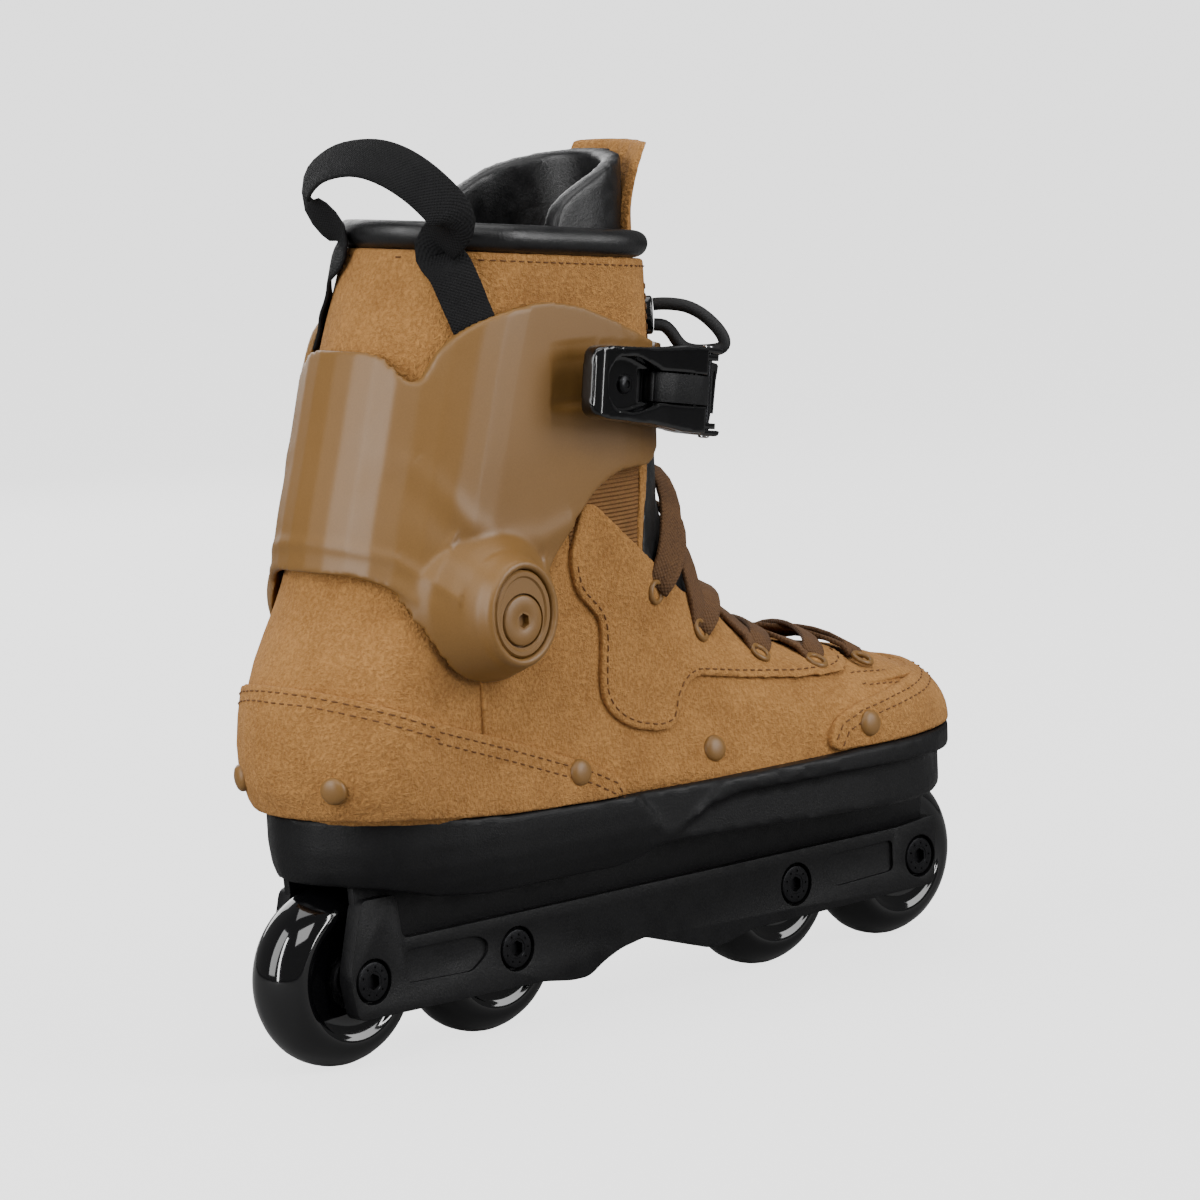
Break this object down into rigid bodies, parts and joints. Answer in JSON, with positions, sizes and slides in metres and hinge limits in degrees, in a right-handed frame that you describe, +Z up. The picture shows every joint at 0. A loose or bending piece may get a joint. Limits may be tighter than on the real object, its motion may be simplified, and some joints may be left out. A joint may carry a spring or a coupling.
{
  "type": "inline skate",
  "caption": "Right-foot aggressive inline skate: suede boot, padded liner, hinged cuff, ratchet buckle, moulded sole and frame with a grind block",
  "frame": {"origin": "on the ground, midway between the first and the last axle", "axes": "+X towards the toe, +Y towards the inner side of the foot, +Z up"},
  "size_m": [0.319, 0.1141, 0.2995],
  "materials": {
    "suede": "napped tan suede",
    "cuff_plastic": "satin moulded brown plastic",
    "nylon": "fine-textured black nylon",
    "urethane": "glossy black urethane",
    "lining": "black padded lining",
    "leather": "smooth black padded leather",
    "black_metal": "black oxide",
    "steel": "ground steel",
    "lace": "flat woven brown lace",
    "webbing": "woven black webbing"
  },
  "bodies": {
    "base": {"chassis": "nylon", "spacer_1": "steel", "axle_bolt_1": "black_metal", "axle_nut_1": "black_metal", "spacer_2": "steel", "axle_bolt_2": "black_metal", "axle_nut_2": "black_metal", "spacer_3": "steel", "axle_bolt_3": "black_metal", "axle_nut_3": "black_metal", "spacer_4": "steel", "axle_bolt_4": "black_metal", "axle_nut_4": "black_metal", "boot_skin": "suede", "heel_counter": "suede", "toe_cap": "suede", "eyestay_outer": "suede", "eyestay_inner": "suede", "rivet_outer_1": "cuff_plastic", "rivet_outer_2": "cuff_plastic", "rivet_outer_3": "cuff_plastic", "rivet_outer_4": "cuff_plastic", "rivet_inner_1": "cuff_plastic", "rivet_inner_2": "cuff_plastic", "rivet_inner_3": "cuff_plastic", "rivet_inner_4": "cuff_plastic", "boot_lace": "lace", "liner_foot": "lining", "tongue": "leather", "insole": "lining", "cuff_bolt_outer": "cuff_plastic", "cuff_bolt_inner": "cuff_plastic", "cuff_nut_outer": "steel", "cuff_nut_inner": "steel"},
    "cuff_unit": {"cuff": "cuff_plastic", "cuff_insert_outer": "cuff_plastic", "cuff_insert_inner": "cuff_plastic", "liner_shaft": "suede", "liner_collar": "leather", "buckle_base": "nylon", "buckle_pin": "black_metal", "ratchet_strap": "nylon", "strap_screw": "black_metal", "pull_loop": "webbing", "liner_cord": "lining", "cord_tab": "nylon"},
    "lever": {"buckle_lever": "nylon"},
    "pawl": {"buckle_pawl": "nylon"},
    "wheel_unit_1": {"wheel_1": "urethane", "bearing_1_outer": "steel", "bearing_1_inner": "steel"},
    "wheel_unit_2": {"wheel_2": "urethane", "bearing_2_outer": "steel", "bearing_2_inner": "steel"},
    "wheel_unit_3": {"wheel_3": "urethane", "bearing_3_outer": "steel", "bearing_3_inner": "steel"},
    "wheel_unit_4": {"wheel_4": "urethane", "bearing_4_outer": "steel", "bearing_4_inner": "steel"}
  },
  "joints": [
    {"name": "wheel_spin_1", "type": "hinge", "parent": "base", "child": "wheel_unit_1", "pos_m": [-0.129, 0, 0.03], "axis": [0, 1, 0], "continuous": true},
    {"name": "wheel_spin_2", "type": "hinge", "parent": "base", "child": "wheel_unit_2", "pos_m": [-0.066, 0, 0.03], "axis": [0, 1, 0], "continuous": true},
    {"name": "wheel_spin_3", "type": "hinge", "parent": "base", "child": "wheel_unit_3", "pos_m": [0.066, 0, 0.03], "axis": [0, 1, 0], "continuous": true},
    {"name": "wheel_spin_4", "type": "hinge", "parent": "base", "child": "wheel_unit_4", "pos_m": [0.129, 0, 0.03], "axis": [0, 1, 0], "continuous": true},
    {"name": "cuff_tilt", "type": "hinge", "parent": "base", "child": "cuff_unit", "pos_m": [-0.088, 0, 0.145], "axis": [0, 1, 0], "range_deg": [0, 12], "stiffness_Nm_per_rad": 5, "springref_deg": -5.73, "deforming": ["tongue"]},
    {"name": "lever_open", "type": "hinge", "parent": "cuff_unit", "child": "lever", "pos_m": [0.00643, -0.04612, 0.20912], "axis": [0.1549, 0.0218, 0.9877], "range_deg": [0, 80], "stiffness_Nm_per_rad": 0.03, "springref_deg": -11.46},
    {"name": "pawl_press", "type": "hinge", "parent": "cuff_unit", "child": "pawl", "pos_m": [-0.00711, -0.04914, 0.21131], "axis": [0.1549, 0.0218, 0.9877], "range_deg": [0, 12], "stiffness_Nm_per_rad": 0.03, "springref_deg": -5.73}
  ]
}
